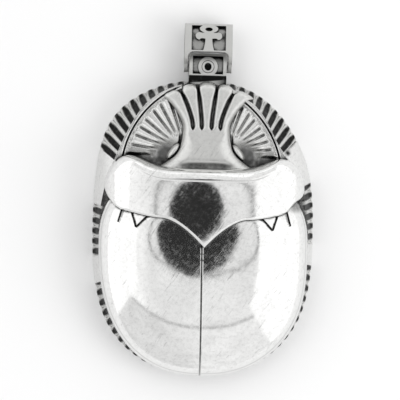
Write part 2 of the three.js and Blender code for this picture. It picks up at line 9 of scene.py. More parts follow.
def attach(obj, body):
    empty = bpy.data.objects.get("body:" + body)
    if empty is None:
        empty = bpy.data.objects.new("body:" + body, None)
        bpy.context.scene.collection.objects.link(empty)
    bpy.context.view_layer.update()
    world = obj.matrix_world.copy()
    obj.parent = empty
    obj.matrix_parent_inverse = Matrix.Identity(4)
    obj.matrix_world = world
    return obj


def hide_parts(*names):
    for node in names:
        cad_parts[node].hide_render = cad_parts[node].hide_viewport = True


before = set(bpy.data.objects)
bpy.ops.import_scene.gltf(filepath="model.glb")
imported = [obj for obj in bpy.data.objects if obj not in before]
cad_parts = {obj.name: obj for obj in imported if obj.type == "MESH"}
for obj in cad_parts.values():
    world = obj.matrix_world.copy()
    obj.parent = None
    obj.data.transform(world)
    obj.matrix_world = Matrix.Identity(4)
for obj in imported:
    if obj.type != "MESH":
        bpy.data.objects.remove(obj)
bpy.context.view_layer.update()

# The view
# A copy-stand shot of a pendant lying on white: straight down through a long lens, from a little
# towards the head and the left, with the pendant turned slightly clockwise in the picture.
MM = 0.001
PHOTO_PIXELS = 400
PIXEL_MM = 0.165
CAMERA_DISTANCE_MM = 360
CAMERA_RIGHT_DEG = -1.6
CAMERA_HEADWARD_DEG = 2.5
PICTURE_TURN_DEG = -1.6
PICTURE_MIDDLE_MM = Vector((-0.65, 4.75, 3.0))
SENSOR_MM = 36

from_object = Vector((tan(radians(CAMERA_RIGHT_DEG)), tan(radians(CAMERA_HEADWARD_DEG)), 1)).normalized()
rightward = Vector((0, 1, 0)).cross(from_object).normalized()
upward = from_object.cross(rightward)
turn = Matrix.Rotation(radians(-PICTURE_TURN_DEG), 3, from_object)
axes = Matrix((turn @ rightward, turn @ upward, from_object)).transposed()
view = bpy.data.cameras.new("view")
view.sensor_width = SENSOR_MM
view.lens = SENSOR_MM * CAMERA_DISTANCE_MM / (PHOTO_PIXELS * PIXEL_MM)
view.clip_start = 0.01
camera = bpy.data.objects.new("camera", view)
camera.matrix_world = axes.to_4x4()
camera.location = (PICTURE_MIDDLE_MM + from_object * CAMERA_DISTANCE_MM) * MM
bpy.context.scene.collection.objects.link(camera)
bpy.context.scene.camera = camera
bpy.context.scene.view_settings.view_transform = "Standard"

# The light tent
# White cloth with brighter lamps behind its two sides, a grey panel on top with a seam round it, and
# the black lens hole. Polished silver shows all of them, so they are painted on the sky.

# Places are slopes seen from the pendant, in degrees or as numbers. The panel's seam is a share of
# its half width, and light is a share of plain white.
LENS_HOLE_DEG = 10.2
PANEL_LEFT_DEG = -15.4
PANEL_RIGHT_DEG = 20.8
PANEL_TOP_DEG = 11
PANEL_BOTTOM_DEG = -10.1
FRONT_FLAP_DEG = -30
SIDE_LEFT_DEG = -27
SIDE_RIGHT_DEG = 21.4
SIDE_LEFT_SOFT_DEG = 0.8
SIDE_RIGHT_SOFT_DEG = 0.3
LEFT_CORNER = 0.62
RIGHT_CORNER = 1.07
LEFT_CORNER_SOFT = 0.05
RIGHT_CORNER_SOFT = 0.02
PANEL_LIGHT = 0.9
TOP_LIGHT = 0.93
TOP_LEFT_GAIN = 1.2
TOP_LEFT_DEG = -12
FLAP_LEFT_LIGHT = 0.83
FLAP_RIGHT_LIGHT = 0.98
FLAP_SPREAD = (-0.35, 0.38)
FLAP_SOFT = 0.02
SIDE_LIGHT = 1.25
LENS_LIGHT = 0.035
SEAM_LIGHT = 0.38
PANEL_SEAM = 0.06
FLAP_SEAM = 0.035
FLAP_SEAM_SHARE = 0.6
FOLD_SPACING = 0.2
FOLD_LIGHT = (0.93, 1.06)
LAMP_WATTS = 0.9
LAMP_WIDTH_M = 0.3
LAMP_PLACE_M = (0.45, -0.12, 0.32)
SMOOTH = {"interpolation_type": "SMOOTHSTEP"}


def linear(hex_colour):
    """An sRGB hex colour as a linear RGBA."""
    parts = [int(hex_colour[i:i + 2], 16) / 255 for i in (1, 3, 5)]
    return [c / 12.92 if c <= 0.04045 else ((c + 0.055) / 1.055) ** 2.4 for c in parts] + [1.0]


def add(tree, kind, inputs=(), **settings):
    """Adds a node with its settings. Its inputs, in order or by name, are values, nodes or sockets."""
    node = tree.nodes.new("ShaderNode" + kind)
    for name, value in settings.items():
        setattr(node, name, value)
    for name, value in inputs.items() if isinstance(inputs, dict) else enumerate(inputs):
        if isinstance(value, bpy.types.Node):
            value = value.outputs[0]
        if isinstance(value, bpy.types.NodeSocket):
            tree.links.new(value, node.inputs[name])
        else:
            node.inputs[name].default_value = value
    return node


def slope(degrees):
    return tan(radians(degrees))


tent = bpy.data.worlds.new("light tent")
bpy.context.scene.world = tent
tent.use_nodes = True
sky = tent.node_tree
sky.nodes.clear()

# Where each direction meets a level plane over the pendant, measured from the point below the lens
direction = add(sky, "TexCoord").outputs["Generated"]
parts = add(sky, "SeparateXYZ", [direction]).outputs
height = add(sky, "Math", [parts["Z"], 0.02], operation="MAXIMUM")
slopes = []
for axis, lens in (("X", from_object.x / from_object.z), ("Y", from_object.y / from_object.z)):
    part = add(sky, "Math", [parts[axis], height], operation="DIVIDE")
    slopes.append(add(sky, "Math", [part, lens], operation="SUBTRACT"))
across, along = slopes
on_plane = add(sky, "CombineXYZ", slopes)
from_lens = add(sky, "VectorMath", [on_plane], operation="LENGTH").outputs["Value"]

# The panel is a squarish oval: its edge is where the fourth powers add up to 1
panel_low = Vector((slope(PANEL_LEFT_DEG), slope(PANEL_BOTTOM_DEG), -1))
panel_high = Vector((slope(PANEL_RIGHT_DEG), slope(PANEL_TOP_DEG), 1))
on_panel = add(sky, "VectorMath", [on_plane, (panel_high + panel_low) / 2], operation="SUBTRACT")
on_panel = add(sky, "VectorMath", [on_panel, (panel_high - panel_low) / 2], operation="DIVIDE")
squared = add(sky, "VectorMath", [on_panel, on_panel], operation="MULTIPLY")
fourth = add(sky, "VectorMath", [squared, squared], operation="DOT_PRODUCT").outputs["Value"]
panel_edge = add(sky, "Math", [fourth, 0.25], operation="POWER")


def seam(distance, half_width):
    """How dark a seam is at a distance from its middle."""
    away = add(sky, "Math", [distance], operation="ABSOLUTE")
    return add(sky, "MapRange", [away, half_width, half_width * 0.4], **SMOOTH)


# The sides light the cloth beyond their slopes, and end at a corner of the tent towards the tail
tailward = add(sky, "Math", [0.0, parts["Y"]], operation="SUBTRACT")
side_lights = []
for side_deg, soft_deg, corner, soft_corner in (
        (SIDE_LEFT_DEG, -SIDE_LEFT_SOFT_DEG, LEFT_CORNER, LEFT_CORNER_SOFT),
        (SIDE_RIGHT_DEG, SIDE_RIGHT_SOFT_DEG, -RIGHT_CORNER, RIGHT_CORNER_SOFT)):
    unlit_at, lit_at = slope(side_deg - soft_deg), slope(side_deg + soft_deg)
    beyond = add(sky, "MapRange", [across, unlit_at, lit_at], **SMOOTH)
    past_corner = add(sky, "Math", [parts["X"], corner, tailward], operation="MULTIPLY_ADD")
    before_corner = add(sky, "MapRange", [past_corner, soft_corner, -soft_corner], **SMOOTH)
    side_lights.append(add(sky, "Math", [beyond, before_corner], operation="MULTIPLY"))
sides = add(sky, "Math", side_lights, operation="MAXIMUM")

top_light = add(sky, "MapRange", [panel_edge, 0.99, 1.02, PANEL_LIGHT, TOP_LIGHT], **SMOOTH)
left_gain = add(sky, "MapRange", [
    across, slope(TOP_LEFT_DEG), slope(SIDE_LEFT_DEG), 1.0, TOP_LEFT_GAIN], **SMOOTH)
top_light = add(sky, "Math", [top_light, left_gain], operation="MULTIPLY")
flap = slope(FRONT_FLAP_DEG)
flap_light = add(sky, "MapRange", [across, *FLAP_SPREAD, FLAP_LEFT_LIGHT, FLAP_RIGHT_LIGHT], **SMOOTH)
past_flap = add(sky, "MapRange", [along, flap + FLAP_SOFT, flap - FLAP_SOFT], **SMOOTH)
tent_light = add(sky, "Mix", {"Factor": past_flap, "A": top_light, "B": flap_light})
lit_sides = add(sky, "Math", [sides, SIDE_LIGHT], operation="MULTIPLY")
tent_light = add(sky, "Math", [tent_light, lit_sides], operation="MAXIMUM")

panel_seam = seam(add(sky, "Math", [panel_edge, 1.0], operation="SUBTRACT"), PANEL_SEAM)
flap_seam = seam(add(sky, "Math", [along, flap], operation="SUBTRACT"), FLAP_SEAM)
unlit = add(sky, "MapRange", [sides, 0.0, 1.0, FLAP_SEAM_SHARE, 0.0])
flap_seam = add(sky, "Math", [flap_seam, unlit], operation="MULTIPLY")
seams = add(sky, "Math", [panel_seam, flap_seam], operation="MAXIMUM")
folds = add(sky, "TexNoise", {
    "Vector": direction, "Scale": 1 / FOLD_SPACING, "Detail": 3.0, "Distortion": 0.6})
shades = [
    add(sky, "MapRange", [seams, 0.0, 1.0, 1.0, SEAM_LIGHT], **SMOOTH),
    add(sky, "MapRange", [folds, 0.3, 0.7, *FOLD_LIGHT], **SMOOTH),
    add(sky, "MapRange", [
        from_lens, slope(LENS_HOLE_DEG * 0.97), slope(LENS_HOLE_DEG * 1.03), LENS_LIGHT, 1.0], **SMOOTH)]
for shade in shades:
    tent_light = add(sky, "Math", [tent_light, shade], operation="MULTIPLY")
background = add(sky, "Background", {"Color": linear("#ffffff"), "Strength": tent_light})
add(sky, "OutputWorld", {"Surface": background})

# A soft lamp at the right, which the silver doesn't mirror, throws the faint shadow to the left
lamp = bpy.data.lights.new("side lamp", "AREA")
lamp.energy = LAMP_WATTS
lamp.size = LAMP_WIDTH_M
side_lamp = bpy.data.objects.new("side lamp", lamp)
side_lamp.location = LAMP_PLACE_M
side_lamp.rotation_euler = (-side_lamp.location).to_track_quat("-Z", "Y").to_euler()
side_lamp.visible_glossy = False
bpy.context.scene.collection.objects.link(side_lamp)

# The table
# A sheet of matt white card, larger than the picture, on which the pendant lies. The paper's fibres
# are too fine to show, so the relief is drawn as clumps of them, and to the eye it is white without
# any shine.
CARD_HALF_M = 0.6
CARD_SUNK_MM = 0.02
CARD_WHITE = "#eeeeee"
CARD_ROUGHNESS = 0.9
FIBRE_CLUMP_MM = 1.1
FIBRE_RELIEF_MM = 0.2
card = bpy.data.materials.new("matt white card")
card.use_nodes = True
fibre = add(card.node_tree, "TexNoise", {"Scale": 1 / (FIBRE_CLUMP_MM * MM), "Detail": 3.0})
fibre_relief = add(card.node_tree, "Bump", {
    "Height": fibre, "Strength": 0.04, "Distance": FIBRE_RELIEF_MM * MM})
paper = card.node_tree.nodes["Principled BSDF"]
paper.inputs["Base Color"].default_value = linear(CARD_WHITE)
paper.inputs["Roughness"].default_value = CARD_ROUGHNESS
card.node_tree.links.new(fibre_relief.outputs[0], paper.inputs["Normal"])
corners = [(x * CARD_HALF_M, y * CARD_HALF_M, 0) for x, y in ((-1, -1), (1, -1), (1, 1), (-1, 1))]
sheet = bpy.data.meshes.new("card")
sheet.from_pydata(corners, [], [(0, 1, 2, 3)])
sheet.materials.append(card)
table = bpy.data.objects.new("card", sheet)
table.location.z = -CARD_SUNK_MM * MM
bpy.context.scene.collection.objects.link(table)

# The silver
# Cast silver, dipped to blacken it, tumbled to a satin, and then polished on a wheel where that
# reached. To the eye the domes are mirrors that show the tent and the lens, the small relief is pale
# and soft, and the black oxide left in the grooves and corners draws every form.
CORNER_REACH_MM = 0.85
CORNER_OPEN = 0.86
CORNER_SHUT = 0.56
CORNER_BLACK = 0.95
CORNER_UNEVEN = 0.08
BLOTCH_MM = 0.7
BLOTCH_RANGE = (0.2, 0.8)
BLOTCH_BLACK = (1.15, 0.92)
BLOTCH_ROUGHNESS = 0.055
STAIN_MM = 0.6
STAIN_BLACK = 0.22

# Real hairlines and scratches are finer, and are drawn as coarse as they need to be to show
HAIRLINE_MM = 0.12
HAIRLINE_ROUGHNESS = 0.04
SCRATCH_MM = 0.3
SCRATCH_BLACK = 0.28
SCRATCH_LEAN_DEG = -35
SCRATCH_STRETCH = (1.0, 14.0, 2.5)
HANDLED_MM = 4
RIPPLE_MM = 2.6

# How deep the ripple, hairlines and scratches are, each in steps of one depth
RELIEF_MM = 0.002
RIPPLE_STEPS = 6.0
HAIRLINE_STEPS = 0.5
SCRATCH_STEPS = 0.6
MIRROR = "#f0f0ef"
SATIN = "#d6d6d4"
OXIDE_AND_SHADE_BLACK = "#1b1b1a"
MIRROR_ROUGHNESS = 0.06
SATIN_ROUGHNESS = 0.36
OXIDE_ROUGHNESS = 0.42


def blackened_silver(name):
    """Silver that is as black and as satin as the points of the mesh say. Their black is oxide, and in a
    few places painted shade.
    """
    made = bpy.data.materials.new(name)
    made.use_nodes = True
    tree = made.node_tree
    metal = tree.nodes["Principled BSDF"]
    metal.inputs["Metallic"].default_value = 1.0
    oxide_and_shade = add(tree, "Attribute", attribute_name="oxide_and_shade").outputs["Fac"]
    satin = add(tree, "Attribute", attribute_name="satin").outputs["Fac"]
    place = add(tree, "TexCoord").outputs["Object"]

    # Hairlines from the wheel, and deeper scratches in the places where the pendant is handled
    brushed = add(tree, "Mapping", {
        "Vector": place, "Rotation": (0, 0, radians(SCRATCH_LEAN_DEG)), "Scale": SCRATCH_STRETCH,
    }, vector_type="TEXTURE")
    hairlines = add(tree, "TexNoise", {
        "Vector": brushed, "Scale": 1 / (HAIRLINE_MM * MM), "Detail": 2.0})
    scratch = add(tree, "TexNoise", {
        "Vector": brushed, "Scale": 1 / (SCRATCH_MM * MM), "Detail": 4.0, "Roughness": 0.7})
    scratched = add(tree, "MapRange", [scratch, 0.56, 0.7], **SMOOTH)
    handled = add(tree, "TexNoise", {"Vector": place, "Scale": 1 / (HANDLED_MM * MM), "Detail": 1.0})
    handled = add(tree, "MapRange", [handled, 0.42, 0.58], **SMOOTH)
    scratched = add(tree, "Math", [scratched, handled], operation="MULTIPLY")

    # Black where the mesh says so and in the corners that a wheel can't reach, both in blotches, and
    # a faint stain all over
    blotch = add(tree, "TexNoise", {"Vector": place, "Scale": 1 / (BLOTCH_MM * MM), "Detail": 4.0})
    blotchy = add(tree, "MapRange", [blotch, *BLOTCH_RANGE, *BLOTCH_BLACK], **SMOOTH)
    patchy = add(tree, "Math", [oxide_and_shade, blotchy], operation="MULTIPLY")
    stain = add(tree, "TexNoise", {
        "Vector": place, "Scale": 1 / (STAIN_MM * MM), "Detail": 6.0, "Roughness": 0.75})
    stained = add(tree, "MapRange", [stain, 0.4, 0.8, 0.0, STAIN_BLACK], **SMOOTH)
    marks = add(tree, "Math", [scratched, SCRATCH_BLACK, stained], operation="MULTIPLY_ADD")
    openness = add(
        tree, "AmbientOcclusion", {"Distance": CORNER_REACH_MM * MM}, samples=12, only_local=True)
    uneven = add(tree, "MapRange", [blotch, *BLOTCH_RANGE, -CORNER_UNEVEN, CORNER_UNEVEN], **SMOOTH)
    openness = add(tree, "Math", [openness.outputs["AO"], uneven], operation="ADD")
    cornered = add(tree, "MapRange", [openness, CORNER_OPEN, CORNER_SHUT, 0.0, CORNER_BLACK], **SMOOTH)
    black = add(tree, "Math", [patchy, marks], operation="MAXIMUM")
    black = add(tree, "Math", [black, cornered], operation="MAXIMUM")
    clean = add(tree, "Mix", {"Factor": satin, "A": linear(MIRROR), "B": linear(SATIN)}, data_type="RGBA")
    colour = add(tree, "Mix", {
        "Factor": black, "A": clean.outputs["Result"], "B": linear(OXIDE_AND_SHADE_BLACK)}, data_type="RGBA")
    tree.links.new(colour.outputs["Result"], metal.inputs["Base Color"])

    # Rougher where it is satin, worn or black
    dullness = SATIN_ROUGHNESS - MIRROR_ROUGHNESS
    finish = add(tree, "Math", [satin, dullness, MIRROR_ROUGHNESS], operation="MULTIPLY_ADD")
    worn = add(tree, "MapRange", [hairlines, 0.45, 0.75, 0.0, HAIRLINE_ROUGHNESS], **SMOOTH)
    matt = add(tree, "MapRange", [blotch, 0.42, 0.7, 0.0, BLOTCH_ROUGHNESS], **SMOOTH)
    for more in (worn, matt):
        finish = add(tree, "Math", [finish, more], operation="ADD")
    burnt = add(tree, "Math", [black, OXIDE_ROUGHNESS], operation="MULTIPLY")
    finish = add(tree, "Math", [finish, burnt], operation="MAXIMUM")
    tree.links.new(finish.outputs[0], metal.inputs["Roughness"])

    # The slow ripple of hand polishing under the hairlines and scratches
    ripple = add(tree, "TexNoise", {"Vector": place, "Scale": 1 / (RIPPLE_MM * MM), "Detail": 1.0})
    levels = add(tree, "Math", [ripple, RIPPLE_STEPS], operation="MULTIPLY")
    levels = add(tree, "Math", [hairlines, HAIRLINE_STEPS, levels], operation="MULTIPLY_ADD")
    levels = add(tree, "Math", [scratched, SCRATCH_STEPS, levels], operation="MULTIPLY_ADD")
    relief = add(tree, "Bump", {"Height": levels, "Strength": 1.0, "Distance": RELIEF_MM * MM})
    tree.links.new(relief.outputs[0], metal.inputs["Normal"])
    return made


polished_silver = blackened_silver("oxidised polished silver")

# The scarab's rim
# The edge of the casting, a sloping band with sharp ribs between deep blackened flutes. The legs
# cross it as smooth straps, two a side, and a back plate is soldered in flush below.

# Sizes are in millimetres from here on. An oval is its half width, half length and squareness.
BACK = (18.4, 24.5, 2.4)
TOP_FRONT = (17.24, 24.1, 1.86)
TOP_TAIL = (17.24, 24.0, 2.35)
RIM_HEIGHT = 4.2
RIM_LEAST_SLOPE = 0.4
FLUTES = 80
STEPS_A_FLUTE = 12
FLUTE_DEPTH = 0.3
RIB_SET_BACK = 0.3
ROOT = 3.4

# Where the legs cross along Y, how far they swell, and what share of their satin is polished off
LEFT_LEGS = ((3.6, 13), (-9.9, -5))
RIGHT_LEGS = ((7.9, 15), (-6, -2))
LEG_EDGE = 0.25
LEG_SWELL = 0.2
LEG_POLISH = 0.85

# The back plate and the black joint round it, as shares of the outline and how high they lie
PLATE = ((0.3, 0), (0.6, 0), (0.88, 0), (0.925, 0), (0.93, 0.16), (0.937, 0.16), (0.942, 0))
JOINT_BLACK = 0.9

# The band from its rounded lower edge upwards, as shares of its height, and how far in they lie
BAND = ((0, 0.12), (0.015, 0.04), (0.04, 0), (0.07, 0), (0.1, 0),
        *((up, 0) for up in np.linspace(0.2, 1, 9)))

# A casting pit by the right foreleg
PIT_X = 13.6
PIT_Y = 12.9
PIT_RADIUS = 0.5
PIT_BLACK = 0.95

# Where the hand-finished outlines stand out from those ovals: angle, spread and distance
BACK_BULGES = ((132, 18, 1.2), (55, 22, -0.55), (-42, 22, 0.6), (226, 16, 0.4))
TOP_BULGES = ((114, 16, 1.1), (50, 14, -1.25), (-42, 22, 0.6))
WING_BULGES = ((-38, 22, 0.6),)


def rise(value, low, high):
    """A smooth step over an array, downwards where high is below low."""
    t = np.clip((value - low) / (high - low), 0, 1)
    return t * t * (3 - 2 * t)


def superellipse(angle, half_x, half_y, squareness):
    x = np.abs(np.cos(angle)) / half_x
    y = np.abs(np.sin(angle)) / half_y
    return (x ** squareness + y ** squareness) ** (-1 / squareness)


def stand_out(bulges, angle):
    away = [(np.degrees(angle) - middle + 540) % 360 - 180 for middle, _, _ in bulges]
    return sum(far * np.exp(-(a / width) ** 2) for a, (_, width, far) in zip(away, bulges))


def back_radius(angle):
    return superellipse(angle, *BACK) + stand_out(BACK_BULGES, angle)


def rim_top_radius(angle):
    oval = np.where(np.sin(angle) > 0, superellipse(angle, *TOP_FRONT), superellipse(angle, *TOP_TAIL))
    return np.minimum(oval + stand_out(TOP_BULGES, angle), back_radius(angle) - RIM_LEAST_SLOPE)


def places(form):
    return np.array([v.co for v in form.data.vertices]) / MM


def finish_of(form, finish):
    return np.array([v.value for v in form.data.attributes[finish].data])


def set_finish(mesh, finish, values):
    """Stores how black ("oxide") or how satin ("satin") each point of a mesh is."""
    stored = mesh.attributes.get(finish) or mesh.attributes.new(finish, "FLOAT", "POINT")
    stored.data.foreach_set("value", np.ravel(values).astype(np.float32))


def closed_form(name, points, faces, oxide_and_shade, satin):
    """A closed mesh object from points, with how black each of them is and how satin all are."""
    mesh = bpy.data.meshes.new(name)
    mesh.from_pydata((points * MM).tolist(), [], faces)
    set_finish(mesh, "oxide_and_shade", oxide_and_shade)
    set_finish(mesh, "satin", np.full(len(points), float(satin)))
    work = bmesh.new()
    work.from_mesh(mesh)
    bmesh.ops.remove_doubles(work, verts=work.verts, dist=1e-6)
    bmesh.ops.dissolve_degenerate(work, edges=work.edges, dist=1e-7)
    bmesh.ops.recalc_face_normals(work, faces=work.faces)
    work.to_mesh(mesh)
    work.free()
    form = bpy.data.objects.new(name, mesh)
    bpy.context.scene.collection.objects.link(form)
    return form


def loft(name, rings, oxide_and_shade=None, satin=1):
    """A skin over rings of equal count, each an array of points, closed from the middle of both ends."""
    rows, count = len(rings), len(rings[0])
    points = np.vstack([np.vstack(rings), rings[0].mean(axis=0), rings[-1].mean(axis=0)])
    black = np.zeros((rows, count)) if oxide_and_shade is None else np.broadcast_to(oxide_and_shade, (rows, count))
    here = np.arange(count)
    following = (here + 1) % count
    faces = []
    for row in range(rows - 1):
        start = row * count
        faces += np.stack([start + here, start + following, start + count + following,
                           start + count + here], axis=1).tolist()
    first, last, start = rows * count, rows * count + 1, (rows - 1) * count
    faces += [(first, int(b), int(a)) for a, b in zip(here, following)]
    faces += [(last, int(start + a), int(start + b)) for a, b in zip(here, following)]
    ends = [black[0].mean(), black[-1].mean()]
    return closed_form(name, points, faces, np.concatenate([black.ravel(), ends]), satin)


# The flutes are spaced evenly along the outline, so it is measured first
fine = np.linspace(-pi / 2, 1.5 * pi, 8001)
edge = superellipse(fine, *BACK)
steps = np.hypot(np.diff(edge * np.cos(fine)), np.diff(edge * np.sin(fine)))
run = np.concatenate([[0], np.cumsum(steps)])
phases = np.arange(FLUTES * STEPS_A_FLUTE) / STEPS_A_FLUTE
angles = np.interp(phases / FLUTES * run[-1], run, fine)
outer = back_radius(angles)
inner = rim_top_radius(angles)
from_rib = np.abs((phases + 0.5) % 1 - 0.5)
y = outer * np.sin(angles)
leg = np.zeros_like(y)
for legs, on_side in ((LEFT_LEGS, np.cos(angles) < 0), (RIGHT_LEGS, np.cos(angles) >= 0)):
    for low, high in legs:
        leg += on_side * rise(y, low, low + LEG_EDGE) * rise(y, high, high - LEG_EDGE)
flute = rise(from_rib, 0.12, 0.26) * (1 - leg)
set_back = RIB_SET_BACK * (1 - 2 * from_rib) ** 4 * (1 - leg)
rings = []
black = []
for reach, level in PLATE:
    r = reach * (outer - set_back)
    rings.append(np.stack([r * np.cos(angles), r * np.sin(angles), np.full_like(angles, level)], axis=1))
    black.append(np.full_like(angles, JOINT_BLACK if level else 0))
for up, inset in BAND:
    r = outer + (inner - outer) * up
    r = r - FLUTE_DEPTH * rise(up, 0.03, 0.3) * flute - set_back * (1 - up) - inset
    r += LEG_SWELL * leg * np.sin(pi * up)
    level = np.full_like(angles, RIM_HEIGHT * up)
    rings.append(np.stack([r * np.cos(angles), r * np.sin(angles), level], axis=1))
    bare = 0.1 + 0.24 * (1 - up) ** 10
    black.append(rise(from_rib, bare, bare + 0.17) * (1 - leg) * (up > 0.03))
casting = loft("scarab", rings, black)

# The legs' polish and the pit are put on the finished skin
x, y, z = places(casting).T
turned = (np.arctan2(y, x) + pi / 2) % (2 * pi) - pi / 2
set_finish(casting.data, "satin", 1 - LEG_POLISH * np.interp(turned, angles, leg) * (z > 0.1))
pit = PIT_BLACK * np.exp(-(np.hypot(x - PIT_X, y - PIT_Y) / PIT_RADIUS) ** 4) * (z > 1.5)
set_finish(casting.data, "oxide_and_shade", np.maximum(finish_of(casting, "oxide_and_shade"), pit))

# The wing cases
# One polished dome of the casting with a seam cut down its middle, a fine line round the edge, and
# three short cuts on each side under the shoulders.
WING_HALF_WIDTH = 17.2
WING_MIDDLE_Y = -2
WING_TO_TAIL = 22.2
WING_TO_FRONT = 13
WING_RISE = 6.8
DOME_ACROSS = 3.4
DOME_ALONG = 3
LINE_AT = 0.975
LINE_DEPTH = 0.1
LINE_BLACK = 0.3

# Each cutter's half width, depth and black, and to what share it narrows
SEAM_CUTTER = (0.5, 0.22, 0.75, 1)
STROKE_CUTTER = (0.72, 0.27, 0.62, 0.5)
SEAM_LEAN = -0.35
SEAM_FRONT_Y = -1.9
SEAM_LENGTH = 22.7
UNDER_SHOULDER = (((8.4, 3.1), (11.1, 0.4)), ((12.1, 3.9), (11.1, 0.4)), ((13.1, 4.3), (14.05, 1.1)))

# Painted shade: a dark wedge on the wing cases under the right shoulder, where the thorax's end darkens
# them: its place and how far it spreads
SHOULDER_SHADE_X = 15.2
SHOULDER_SHADE_Y = 4.4
SHOULDER_SHADE_SPREAD_X = 1.5
SHOULDER_SHADE_SPREAD_Y = 1.1
SHOULDER_SHADE_BLACK = 0.62


def wing_squareness(m):
    return 2 + 0.35 * m * m


def dome(x, y, m):
    """Height of the wing cases where the rings have size m, flatter on top across than along."""
    lengthwise = y * y / (x * x + y * y + 1e-9)
    squareness = DOME_ACROSS - (DOME_ACROSS - DOME_ALONG) * lengthwise
    return RIM_HEIGHT + WING_RISE * np.sqrt(np.maximum(0, 1 - m ** squareness))


def wing_height(x, y):
    """Height of the wing cases at a place in plan. Their size m there is found by steps."""
    reach = np.where(y > WING_MIDDLE_Y, WING_TO_FRONT, WING_TO_TAIL)
    m = np.full_like(x, 0.5)
    for _ in range(8):
        n = wing_squareness(m)
        m = ((np.abs(x) / WING_HALF_WIDTH) ** n + (np.abs(y - WING_MIDDLE_Y) / reach) ** n) ** (1 / n)
        m = np.minimum(m, 1)
    return dome(x, y - WING_MIDDLE_Y, m)


def combined(piece, others, operation):
    """The piece joined with, or cut by, other forms, which are used up."""
    for other in others:
        step = piece.modifiers.new(other.name, "BOOLEAN")
        step.object, step.operation, step.solver = other, operation, "MANIFOLD"
    made = bpy.data.meshes.new_from_object(piece.evaluated_get(bpy.context.evaluated_depsgraph_get()))
    piece.modifiers.clear()

    # Each point takes its finish from the nearest point of the forms that it was made from
    before = [v.co for form in (piece, *others) for v in form.data.vertices]
    tree = kdtree.KDTree(len(before))
    for k, place in enumerate(before):
        tree.insert(place, k)
    tree.balance()
    nearest = [tree.find(v.co)[1] for v in made.vertices]
    for finish in ("oxide_and_shade", "satin"):
        values = np.concatenate([finish_of(form, finish) for form in (piece, *others)])
        set_finish(made, finish, values[nearest])
    piece.data = made
    for other in others:
        bpy.data.objects.remove(other)
    return piece


angles = np.linspace(0, 2 * pi, 361)[:-1]
sizes = np.concatenate([[0.01, 0.03, 0.06, 0.1], np.linspace(0.14, 0.9, 44), np.linspace(0.91, 0.965, 9),
                        np.linspace(0.968, 0.982, 8), np.linspace(0.985, 1, 7)])
rings = []
black = []
for m in sizes:
    reach = np.where(np.sin(angles) > 0, WING_TO_FRONT, WING_TO_TAIL)
    r = m * superellipse(angles, WING_HALF_WIDTH, reach, wing_squareness(m))
    r += m ** 3 * stand_out(WING_BULGES, angles)
    x, y = r * np.cos(angles), r * np.sin(angles)
    line = np.exp(-((m - LINE_AT) / 0.005) ** 2)
    rings.append(np.stack([x, WING_MIDDLE_Y + y, dome(x, y, m) - LINE_DEPTH * line], axis=1))
    # The painted shade under the right shoulder is kept with the black of the line round the edge
    from_shoulder_shade = (x - SHOULDER_SHADE_X) / SHOULDER_SHADE_SPREAD_X, (y + WING_MIDDLE_Y - SHOULDER_SHADE_Y) / SHOULDER_SHADE_SPREAD_Y
    shoulder_shade = np.exp(-from_shoulder_shade[0] ** 4 - from_shoulder_shade[1] ** 4)
    black.append(np.maximum(LINE_BLACK * line, SHOULDER_SHADE_BLACK * shoulder_shade))
rings.append(rings[-1] * (1, 1, 0) + (0, 0, ROOT))
black.append(black[-1])
wings = loft("wing cases", rings, black, satin=0)


def incision(name, path, width, depth, oxide_and_shade, narrowing):
    """A V-shaped cutter along the wing cases through places in plan, narrowing to its end."""
    path = np.array(path, float)
    way = np.gradient(path, axis=0)
    way /= np.linalg.norm(way, axis=1)[:, None]
    z = wing_height(path[:, 0], path[:, 1])
    widths = np.linspace(width, width * narrowing, len(z))
    rings = []
    for (x, y), (dx, dy), level, wide in zip(path, way, z, widths):
        side = np.array((dy, -dx, 0)) * wide
        middle = np.array((x, y, level))
        lift = np.array((0, 0, depth))
        rings.append(np.stack([middle - side + lift, middle + side + lift, middle - lift]))
    return loft(name, rings, np.array((0.6, 0.6, 1)) * oxide_and_shade, satin=0)


path = [(SEAM_LEAN * (1 - t), SEAM_FRONT_Y - SEAM_LENGTH * t) for t in np.linspace(0, 1, 90)]
cuts = [incision("seam", path, *SEAM_CUTTER)]
for side in (-1, 1):
    for k, (start, end) in enumerate(UNDER_SHOULDER):
        path = [(side * (start[0] + (end[0] - start[0]) * t), start[1] + (end[1] - start[1]) * t)
                for t in np.linspace(0, 1, 8)]
        cuts.append(incision(f"cut {side} {k}", path, *STROKE_CUTTER))
wings = combined(wings, cuts, "DIFFERENCE")

# The thorax
# The shield across the front of the wing cases, crowned from side to side, with a thin rounded lip
# over the wing cases that comes to a point at the seam, and round shoulders.
THORAX_HALF_WIDTH = 16.45
THORAX_END_Y = 6.8
POINT_Y = -2.65
POINT_HALF_WIDTH = 6.93
POINT_RISE = 4.65
SHOULDER_X = 12.6
THORAX_TOP = 11.6
THORAX_CROWN_RADIUS = 53
THORAX_LENGTH_RADIUS = 60
THORAX_MIDDLE_Y = 0.8
THORAX_STEP = 0.35
THORAX_END_Z = 4.3
THORAX_FRONT_Y = 10.2
FRONT_HUMP = 1.8
REAR_ROUND = 0.55
LIP_ROUND = 0.3
NOSE_ROUND = 1.8
NOSE_DROP = 2.7

# The rear edge is cut back at the right end: its place, spread and depth
CUT_BACK_X = 14.7
CUT_BACK_SPREAD = 1.3
CUT_BACK = 0.95


def blunt(t, power):
    """A quarter of an oval that falls from 1 to 0, where t is 0 and 1."""
    return np.maximum(0, 1 - np.maximum(0, t) ** power) ** (1 / power)


